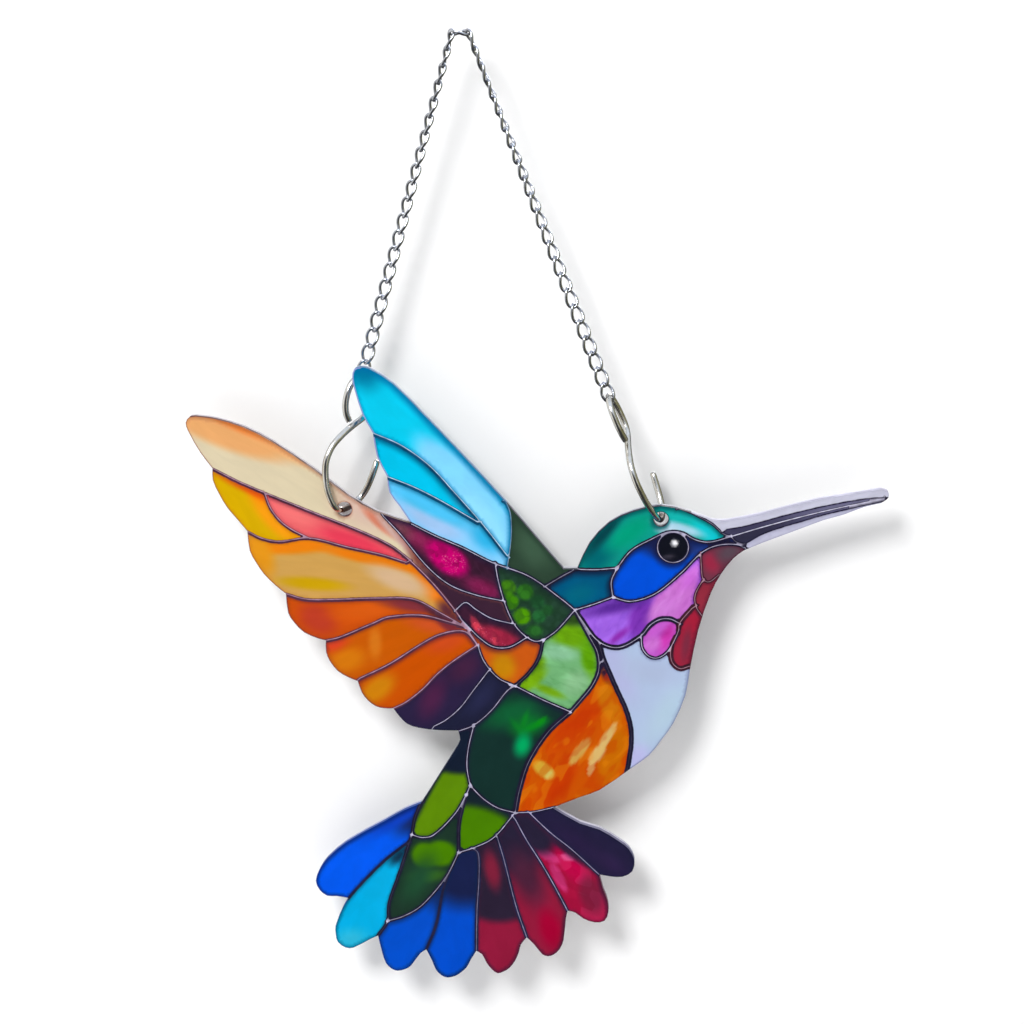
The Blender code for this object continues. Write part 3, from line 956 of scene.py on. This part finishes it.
def colour_corners(mesh, points, corners, owners, colours, wide_rim):
    """The glass, the margin with its width, and the flow at every corner of the slab."""
    glass, margin, flow = [], [], []
    for vertices, owner in zip(corners, owners):
        pane = PANES[owner]
        rim, width, side = EDGES[pane["edge"]]
        along, across = turned(points[vertices], pane["seed"], pane["flow"])
        flow += [value * FLOW_SCALE for pair in zip(along, across) for value in pair]
        for vertex in vertices:
            wide = width if wide_rim[vertex] else min(width, NARROW_RIM)
            margin.append((*light(rim)[:3], wide))
            if len(vertices) == 4:
                glass.append(light(side))
            else:
                glass.append((*colours[owner][vertex], 1.0))
    add_colours(mesh, "glass_colour", "CORNER", glass)
    add_colours(mesh, "margin_colour", "CORNER", margin)
    layer = mesh.uv_layers.new(name="flow")
    layer.data.foreach_set("uv", flow)


def build_sheet():
    """The printed sheet: one closed slab whose front and back both carry the picture."""
    loops = sheet_loops()
    paths, facts = draw_lines(loops)
    points, faces, walls = mesh_plane(loops, paths)
    names = name_panes(points, faces, split_regions(faces, walls), loops)
    colours = paint_panes(points, faces, names, walls)
    faces = [face for face, name in zip(faces, names) if name]
    used = corners_of(faces)
    place_of = {vertex: place for place, vertex in enumerate(used)}
    slab, owners, corners = slab_faces(faces, list(filter(None, names)), place_of)

    depths = [corner.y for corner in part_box("bird_panel")]
    vertices = [(x, depth, z) for depth in depths for x, z in points[used] * MM]
    mesh = bpy.data.meshes.new("printed_sheet")
    mesh.from_pydata(vertices, [], slab)
    kinds_of_glass = list(CLOUDS)
    for kind in kinds_of_glass:
        mesh.materials.append(glass_material(kind))
    mesh.materials.append(cut_edge())
    mesh.polygons.foreach_set("material_index", [
        kinds_of_glass.index(PANES[owner]["glass"]) if len(face) == 3 else len(kinds_of_glass)
        for face, owner in zip(slab, owners)
    ])

    from_edge, leftward = edge_at(points[used], loops)
    colour_corners(mesh, points, corners, owners, colours, dict(zip(used, leftward)))
    lead, kinds = lead_at(points[used], paths, facts)
    layer = mesh.attributes.new("lead", "FLOAT_VECTOR", "POINT")
    layer.data.foreach_set("vector", np.vstack((lead, lead)).ravel())
    layer = mesh.attributes.new("from_edge", "FLOAT", "POINT")
    layer.data.foreach_set("value", np.concatenate((from_edge, from_edge)))
    for place, name in enumerate(("ridge_colour", "strip_colour")):
        tones = [light(LEAD_KINDS[kind][place]) for kind in kinds]
        add_colours(mesh, name, "POINT", tones * 2)
    mesh.validate()
    sheet = new_object("printed_sheet", mesh)
    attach(sheet, "root")
    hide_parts("bird_panel")


# --- Materials ---

class Nodes:
    """Adds nodes to a tree and wires them up in one call."""

    def __init__(self, tree):
        self.tree = tree

    def fill(self, node, inputs):
        """Links each named input to another node's output, or sets it."""
        for name, value in inputs.items():
            if isinstance(value, bpy.types.NodeSocket):
                self.tree.links.new(value, node.inputs[name])
            else:
                node.inputs[name].default_value = value

    def add(self, kind, inputs=(), **settings):
        node = self.tree.nodes.new(kind)
        for name, value in settings.items():
            setattr(node, name, value)
        self.fill(node, dict(inputs))
        return node

    def place(self):
        return self.add("ShaderNodeTexCoord").outputs["Object"]

    def attribute(self, name, output="Color"):
        return self.add("ShaderNodeAttribute", attribute_name=name).outputs[output]

    def parts(self, vector):
        return self.add("ShaderNodeSeparateXYZ", {"Vector": vector}).outputs

    def lightness(self, colour):
        return self.add("ShaderNodeRGBToBW", {"Color": colour}).outputs[0]

    def ramp(self, value, low, high, to_low=0.0, to_high=1.0):
        """A smooth step of a value between two others."""
        return self.add("ShaderNodeMapRange", {
            "Value": value, "From Min": low, "From Max": high,
            "To Min": to_low, "To Max": to_high,
        }, interpolation_type="SMOOTHSTEP").outputs["Result"]

    def math(self, operation, first, second=0.0):
        return self.add("ShaderNodeMath", {0: first, 1: second}, operation=operation).outputs[0]

    def vector(self, operation, inputs):
        return self.add("ShaderNodeVectorMath", inputs, operation=operation).outputs[0]

    def scaled(self, colour, factor):
        """A colour made darker or brighter."""
        return self.vector("SCALE", {0: colour, "Scale": factor})

    def mix(self, factor, first, second, blend="MIX"):
        return self.add(
            "ShaderNodeMix", {"Factor": factor, 6: first, 7: second},
            data_type="RGBA", blend_type=blend,
        ).outputs[2]

    def noise(self, place, scale, detail=2.0, roughness=0.5, distortion=0.0):
        return self.add("ShaderNodeTexNoise", {
            "Vector": place, "Scale": scale, "Detail": detail, "Roughness": roughness,
            "Distortion": distortion,
        }).outputs["Fac"]

    def bump(self, height, strength, distance):
        return self.add("ShaderNodeBump", {
            "Strength": strength, "Distance": distance, "Height": height,
        }).outputs[0]

    def end_in_mix(self, factor, first, second):
        """Ends a material in a mix of two shaders."""
        both = self.add("ShaderNodeMixShader", {
            0: factor, 1: first.outputs[0], 2: second.outputs[0],
        })
        self.fill(self.tree.nodes["Material Output"], {"Surface": both.outputs[0]})


def new_group(name, inputs, outputs):
    """An empty node group with named sockets: its nodes, what comes in, and its end."""
    tree = bpy.data.node_groups.new(name, "ShaderNodeTree")
    for way, sockets in (("INPUT", inputs), ("OUTPUT", outputs)):
        for socket, kind in sockets.items():
            tree.interface.new_socket(socket, in_out=way, socket_type=f"NodeSocket{kind}")
    nodes = Nodes(tree)
    return nodes, nodes.add("NodeGroupInput").outputs, nodes.add("NodeGroupOutput")


@functools.cache
def printed_lead_group():
    """Draws a pane's margin and the lead over it: a dark strip with a bright ridge."""
    nodes, given, end = new_group("printed lead", {
        "Glass": "Color", "Margin": "Color", "Margin Width": "Float", "From Edge": "Float",
        "Lead": "Vector", "Ridge": "Color", "Strip": "Color",
    }, {"Colour": "Color", "Roughness": "Float", "Height": "Float"})
    place = nodes.place()
    width = given["Margin Width"]
    margin = nodes.ramp(given["From Edge"], width, nodes.math("SUBTRACT", width, 0.1))
    colour = nodes.mix(margin, given["Glass"], given["Margin"])

    from_ridge, outside, shine = nodes.parts(given["Lead"])
    waver = nodes.ramp(nodes.noise(place, 700, 2), 0.3, 0.7, -0.04, 0.04)
    strip = nodes.ramp(nodes.math("ADD", outside, waver), 0.13, -0.07)
    mottle = nodes.ramp(nodes.noise(place, 260, 3), 0.3, 0.7, 0.8, 1.25)
    colour = nodes.mix(strip, colour, nodes.scaled(given["Strip"], mottle))

    ridge = nodes.ramp(nodes.math("ADD", from_ridge, waver), 1.3, 0.55)
    glint = nodes.ramp(nodes.noise(place, 420, 3), 0.25, 0.6, 0.7, 1.0)
    ridge = nodes.math("MULTIPLY", nodes.math("MULTIPLY", ridge, shine), glint)
    bright = nodes.ramp(nodes.noise(place, 600, 1), 0.35, 0.65, 0.75, 1.15)
    nodes.fill(end, {
        "Colour": nodes.mix(ridge, colour, nodes.scaled(given["Ridge"], bright)),
        "Roughness": nodes.math("MULTIPLY", strip, 0.12),
        "Height": nodes.math("ADD", strip, ridge),
    })
    return nodes.tree


@functools.cache
def cloud_group():
    """Slow changes of depth in a poured glass, along the way it runs."""
    nodes, given, end = new_group("glass cloud", {
        "Glass": "Color", "Flow": "Vector", "Scale": "Float", "Stretch": "Float",
        "Amount": "Float",
    }, {"Colour": "Color"})
    squeeze = nodes.add("ShaderNodeCombineXYZ", {"X": given["Stretch"], "Y": 1.0, "Z": 1.0})
    flow = nodes.vector("MULTIPLY", {0: given["Flow"], 1: squeeze.outputs[0]})
    cloud = nodes.noise(flow, given["Scale"], 3, 0.55, 0.6)
    low, high = (nodes.math(way, 1.0, given["Amount"]) for way in ("SUBTRACT", "ADD"))
    shifted = nodes.add("ShaderNodeHueSaturation", {
        "Hue": 0.5, "Saturation": 1.0, "Value": nodes.ramp(cloud, 0.3, 0.7, low, high),
        "Fac": 1.0, "Color": given["Glass"],
    })
    nodes.fill(end, {"Colour": shifted.outputs[0]})
    return nodes.tree


def new_material(name):
    material = bpy.data.materials.new(name)
    material.use_nodes = True
    return material, Nodes(material.node_tree), material.node_tree.nodes["Principled BSDF"]


def stretched(nodes, flow, amount):
    """The flow drawn out along its own way."""
    return nodes.vector("MULTIPLY", {0: flow, 1: (amount, 1.0, 1.0)})


def brightness(nodes, glass, low, high):
    """Where the glass is bright enough to show its texture."""
    return nodes.ramp(nodes.lightness(glass), low, high)


def sparkle(nodes, glass, flow):
    """Crystals that catch the light where the glass is bright."""
    grains = nodes.add("ShaderNodeTexVoronoi", {"Vector": flow, "Scale": 7.5, "Randomness": 1.0})
    tone = nodes.lightness(grains.outputs["Color"])
    bright = brightness(nodes, glass, 0.035, 0.16)
    dim = nodes.math("MULTIPLY", nodes.ramp(tone, 0.45, 0.3, 0.0, 0.5), bright)
    colour = nodes.mix(dim, glass, light("#4A0C30"))
    facets = nodes.math("MULTIPLY", nodes.ramp(tone, 0.6, 0.72, 0.0, 0.45), bright)
    specks = nodes.ramp(nodes.noise(flow, 22, 3, 0.7), 0.52, 0.66)
    return nodes.mix(nodes.math("MULTIPLY", specks, facets), colour, light("#FF8CC0"))


def bubbly(nodes, glass, flow):
    """Seedy bubbles, each with a darker ring."""
    cells = nodes.add("ShaderNodeTexVoronoi", {"Vector": flow, "Scale": 4.0, "Randomness": 0.8})
    ring = nodes.ramp(cells.outputs["Distance"], 0.4, 0.62, 0.0, 0.4)
    return nodes.mix(ring, glass, light("#14301C"))


def marbled(nodes, glass, flow):
    """Broad soft strokes of a lighter and a darker tone."""
    stroke = nodes.noise(stretched(nodes, flow, 0.45), 4.0, 2, 0.5, 0.5)
    lighter = nodes.ramp(stroke, 0.5, 0.7, 0.0, 0.28)
    darker = nodes.ramp(stroke, 0.5, 0.3, 0.0, 0.26)
    colour = nodes.mix(lighter, glass, light("#F0FFF8"), "SOFT_LIGHT")
    return nodes.mix(darker, colour, grey(0.0), "SOFT_LIGHT")


def flame(nodes, glass, flow):
    """Long licks of darker and brighter glass."""
    lick = nodes.noise(stretched(nodes, flow, 0.45), 3.0, 1, 0.4, 0.2)
    colour = nodes.mix(nodes.ramp(lick, 0.54, 0.62, 0.0, 0.35), glass, light("#D8800C"))
    return nodes.mix(nodes.ramp(lick, 0.46, 0.38, 0.0, 0.4), colour, light("#C03000"))


def facet(nodes, glass, flow):
    """Broken faces, each a little lighter or darker than the next."""
    cells = nodes.add("ShaderNodeTexVoronoi", {
        "Vector": stretched(nodes, flow, 0.6), "Scale": 4.0, "Smoothness": 0.35, "Randomness": 1.0,
    }, feature="SMOOTH_F1")
    tone = nodes.lightness(cells.outputs["Color"])
    bright = brightness(nodes, glass, 0.02, 0.09)
    pale = nodes.math("MULTIPLY", nodes.ramp(tone, 0.5, 0.7, 0.0, 0.1), bright)
    colour = nodes.mix(pale, glass, light("#E85090"))
    deep = nodes.math("MULTIPLY", nodes.ramp(tone, 0.48, 0.3, 0.0, 0.25), bright)
    return nodes.mix(deep, colour, light("#8A0C34"))


DETAILS = {
    "sparkle": sparkle, "bubbly": bubbly, "marbled": marbled, "flame": flame, "facet": facet,
}
# The clouds in each kind of glass: scale, stretch along the flow, amount
CLOUDS = {
    "smooth": (2.0, 0.6, 0.05), "streaky": (4.0, 0.2, 0.03), "sparkle": (6.0, 0.7, 0.14),
    "bubbly": (6.0, 1.0, 0.1), "marbled": (3.0, 0.5, 0.05), "opal": (1.2, 0.6, 0.02),
    "flame": (3.0, 0.4, 0.05), "facet": (3.0, 0.4, 0.06), "pearl": (9.0, 0.3, 0.05),
}
GLOSS = 0.16  # roughness of the plain print
GLOW = 0.05  # share of the light that comes through the print
ACRYLIC_IOR = 1.49
SPECULAR = 0.05
BOUNCE = 0.8  # how far the light thrown on by the print is greyed, to keep the wall pale
BOUNCE_GREY = 0.12


def glass_material(kind):
    """The printed finish of one kind of glass, with the lead drawn over it."""
    material, nodes, shader = new_material(f"{kind} glass print")
    glass = nodes.attribute("glass_colour")
    flow = nodes.add("ShaderNodeUVMap", uv_map="flow").outputs["UV"]
    if kind in DETAILS:
        glass = DETAILS[kind](nodes, glass, flow)
    scale, stretch, amount = CLOUDS[kind]
    glass = nodes.add("ShaderNodeGroup", {
        "Glass": glass, "Flow": flow, "Scale": scale, "Stretch": stretch, "Amount": amount,
    }, node_tree=cloud_group()).outputs["Colour"]
    printed = nodes.add("ShaderNodeGroup", {
        "Glass": glass,
        "Margin": nodes.attribute("margin_colour"),
        "Margin Width": nodes.attribute("margin_colour", "Alpha"),
        "From Edge": nodes.attribute("from_edge", "Fac"),
        "Lead": nodes.attribute("lead", "Vector"),
        "Ridge": nodes.attribute("ridge_colour"),
        "Strip": nodes.attribute("strip_colour"),
    }, node_tree=printed_lead_group()).outputs
    bounced = nodes.add("ShaderNodeLightPath").outputs["Is Diffuse Ray"]
    greyed = nodes.math("MULTIPLY", bounced, BOUNCE)
    colour = nodes.mix(greyed, printed["Colour"], grey(BOUNCE_GREY))
    smear = nodes.ramp(nodes.noise(nodes.place(), 45, 3), 0.35, 0.7, 0.0, 0.06)
    nodes.fill(shader, {
        "Base Color": colour,
        "Roughness": nodes.math("ADD", nodes.math("ADD", printed["Roughness"], smear), GLOSS),
        "Normal": nodes.bump(printed["Height"], 0.12, 0.1 * MM),
        "IOR": ACRYLIC_IOR,
        "Specular IOR Level": SPECULAR,
    })
    through = nodes.add("ShaderNodeBsdfTranslucent", {"Color": colour})
    nodes.end_in_mix(GLOW, shader, through)
    return material


def cut_edge():
    """The cut side of the acrylic: tinted by the print in front, and paler towards the back."""
    material, nodes, shader = new_material("cut acrylic edge")
    place = nodes.place()
    shift = nodes.ramp(nodes.noise(place, 120, 3), 0.3, 0.7, 0.85, 1.1)
    clear = nodes.ramp(nodes.parts(place)["Y"], -0.1 * MM, 0.5 * MM, 0.0, 0.55)
    tint = nodes.scaled(nodes.attribute("glass_colour"), shift)
    nodes.fill(shader, {
        "Base Color": nodes.mix(clear, tint, light("#E6E6F2")),
        "Roughness": nodes.ramp(nodes.noise(place, 400, 3), 0.3, 0.7, 0.4, 0.55),
        "IOR": ACRYLIC_IOR,
        "Specular IOR Level": SPECULAR,
    })
    return material


def plated_wire(name, tone, warm, holes=()):
    """Bright plated wire, cloudier where handled, rougher and with painted shade in a hole."""
    material, nodes, shader = new_material(name)
    place = nodes.place()
    haze = nodes.noise(place, 260, 4, 0.6)
    colour = nodes.mix(nodes.ramp(haze, 0.35, 0.7), light(tone), light(warm))
    roughness = nodes.ramp(haze, 0.3, 0.75, 0.1, 0.26)
    for x, z in holes:
        away = nodes.add(
            "ShaderNodeVectorMath", {0: place, 1: (x * MM, 0, z * MM)}, operation="DISTANCE",
        ).outputs["Value"]
        # painted shade: the wire is drawn darker grey-brown and rougher towards the middle of each
        # hole
        hole_shade = nodes.ramp(away, 1.5 * MM, 2.4 * MM, 1.0, 0.0)
        colour = nodes.mix(hole_shade, colour, light("#9A8E86"))
        roughness = nodes.math("MAXIMUM", roughness, nodes.math("MULTIPLY", hole_shade, 0.55))
    nodes.fill(shader, {
        "Base Color": colour,
        "Roughness": roughness,
        "Metallic": 1.0,
        "Normal": nodes.bump(nodes.noise(place, 2600, 2), 0.08, 0.02 * MM),
    })
    return material


# --- Hooks and chain ---

HOOK_HOLES = ((-29.4, -117.5), (49.8, -118.9))  # the middle of each hole in the sheet
WIRE_WELD = 0.005  # points of a wire this near, in millimetres, are one


def only(piece):
    """Makes a piece the one thing selected."""
    for other in bpy.context.selected_objects:
        other.select_set(False)
    piece.select_set(True)
    bpy.context.view_layer.objects.active = piece


def edit_whole(piece):
    """Opens a piece's mesh with all of it selected."""
    only(piece)
    bpy.ops.object.mode_set(mode="EDIT")
    bpy.ops.mesh.select_all(action="SELECT")


def round_wire(node, material, levels, stretch, thicken):
    """A smooth round wire from a node's faceted one: rounding draws it in, so it is then
    stretched about its middle and thickened, back to its full size."""
    piece = frame["nodes"][node].copy()
    piece.data = piece.data.copy()
    piece.name = piece.data.name = f"{node}_wire"
    piece.parent = None
    for key in list(piece.keys()):
        del piece[key]
    bpy.context.scene.collection.objects.link(piece)
    edit_whole(piece)
    bpy.ops.mesh.remove_doubles(threshold=WIRE_WELD * MM)
    bpy.ops.mesh.tris_convert_to_quads(
        face_threshold=math.radians(50), shape_threshold=math.radians(60),
    )
    bpy.ops.object.mode_set(mode="OBJECT")
    bpy.ops.object.modifier_add(type="SUBSURF")
    rounding = piece.modifiers[-1]
    rounding.levels = rounding.render_levels = levels
    bpy.ops.object.modifier_apply(modifier=rounding.name)
    low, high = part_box(node)
    edit_whole(piece)
    bpy.ops.transform.resize(value=(stretch,) * 3, center_override=(low + high) / 2)
    bpy.ops.transform.shrink_fatten(value=thicken)
    bpy.ops.object.mode_set(mode="OBJECT")
    bpy.ops.object.shade_smooth()
    piece.data.materials.clear()
    piece.data.materials.append(material)
    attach(piece, "root")
    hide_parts(node)


def build_wires():
    hook_metal = plated_wire("bright nickel hook", "#E4E2E0", "#CAC4B8", HOOK_HOLES)
    chain_metal = plated_wire("bright nickel chain", "#CED0D8", "#AEB0B8")
    for node in sorted(frame["nodes"]):
        if node.startswith("s_hook"):
            round_wire(node, hook_metal, levels=2, stretch=1.0, thicken=0.078 * MM)
        elif node.startswith("chain_link"):
            round_wire(node, chain_metal, levels=1, stretch=1.047, thicken=0.075 * MM)


# --- Setting ---

AIM = Vector((12.6, 0, -117.9)) * MM  # where the camera and the lamps look
AZIMUTH, ELEVATION = math.radians(4), math.radians(12)
CAMERA_DISTANCE = 711 * MM
WALL_GAP = 12.5 * MM  # behind the sheet's middle
FLOOR_DROP = 160 * MM  # below the bird's tail


def build_camera():
    data = bpy.data.cameras.new("camera")
    data.lens, data.sensor_width = 100, 36
    camera = new_object("camera", data)
    back = Vector((
        math.sin(AZIMUTH) * math.cos(ELEVATION), -math.cos(AZIMUTH) * math.cos(ELEVATION),
        math.sin(ELEVATION),
    ))
    camera.location = AIM + back * CAMERA_DISTANCE
    camera.rotation_euler = back.to_track_quat("Z", "Y").to_euler()
    bpy.context.scene.camera = camera


def pale_surface(name, tone, glow=0.0, one_sided=False):
    """Matt pale paint; a one-sided surface isn't seen from behind."""
    material, nodes, shader = new_material(name)
    cloud = nodes.noise(nodes.place(), 12, 3)
    nodes.fill(shader, {
        "Base Color": nodes.mix(cloud, grey(tone), grey(tone * 0.985)),
        "Roughness": 0.85,
        "Specular IOR Level": 0.1,
        "Emission Color": grey(1.0),
        "Emission Strength": glow,
    })
    if one_sided:
        behind = nodes.add("ShaderNodeNewGeometry").outputs["Backfacing"]
        nodes.end_in_mix(behind, shader, nodes.add("ShaderNodeBsdfTransparent"))
    return material


def add_plane(name, size, place, tilt, paint):
    bpy.ops.mesh.primitive_plane_add(size=size, location=place, rotation=(tilt, 0, 0))
    plane = bpy.context.object
    plane.name = name
    plane.data.materials.append(paint)
    plane.visible_glossy = False
    return plane


def build_stage():
    """A pale wall close behind the sheet and a pale floor under it."""
    floor_z = CAD_BOX[0].z - FLOOR_DROP
    paint = pale_surface("wall paint", 0.93, glow=0.055, one_sided=True)
    wall = add_plane("wall", 4, (AIM.x, WALL_GAP, floor_z + 2), math.pi / 2, paint)
    wall.visible_shadow = False
    floor = add_plane("floor", 6, (AIM.x, 0, floor_z), 0, pale_surface("floor paint", 0.86))
    wall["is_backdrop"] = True
    floor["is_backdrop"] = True


def add_light(name, place, size, power):
    data = bpy.data.lights.new(name, "AREA")
    data.shape, data.size, data.energy = "DISK", size, power
    lamp = new_object(name, data)
    lamp.location = place
    lamp.rotation_euler = (lamp.location - AIM).to_track_quat("Z", "Y").to_euler()


def build_lights():
    """A key lamp at the upper left, a weak fill and a lamp behind, in a room that the wire
    mirrors as dark low down and bright above and to the left."""
    add_light("key", (-0.54, -1.3, 1.0), 0.72, 27)
    add_light("fill", (1.2, -1.5, 0.1), 1.2, 1.5)
    add_light("back", (0.3, 1.4, 0.5), 0.9, 12)
    world = bpy.data.worlds.new("studio")
    bpy.context.scene.world = world
    world.use_nodes = True
    nodes = Nodes(world.node_tree)
    way = nodes.parts(nodes.add("ShaderNodeTexCoord").outputs["Generated"])
    height = nodes.ramp(way["Z"], 0.15, 0.6)
    mirrored = nodes.mix(height, (0.045, 0.047, 0.05, 1), (0.8, 0.88, 1.0, 1))
    left = nodes.ramp(way["X"], -0.45, -0.85)
    mirrored = nodes.mix(left, mirrored, (0.9, 0.9, 0.86, 1))
    right = nodes.ramp(way["X"], 0.5, 0.8, 0.0, 0.8)
    mirrored = nodes.mix(right, mirrored, (0.3, 0.29, 0.16, 1))
    glossy = nodes.add("ShaderNodeLightPath").outputs["Is Glossy Ray"]
    colour = nodes.mix(glossy, (0.2, 0.2, 0.205, 1), mirrored)
    nodes.fill(world.node_tree.nodes["Background"], {"Color": colour})


def build():
    for old in list(bpy.data.objects):
        if old.name in ("Cube", "Camera", "Light"):
            bpy.data.objects.remove(old, do_unlink=True)
    bpy.context.scene.view_settings.view_transform = "Standard"
    build_camera()
    build_stage()
    build_lights()
    build_sheet()
    build_wires()


build()
boxes = {"cad": CAD_BOX, "visual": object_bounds()}
{name: [list(corner) for corner in box] for name, box in boxes.items()}
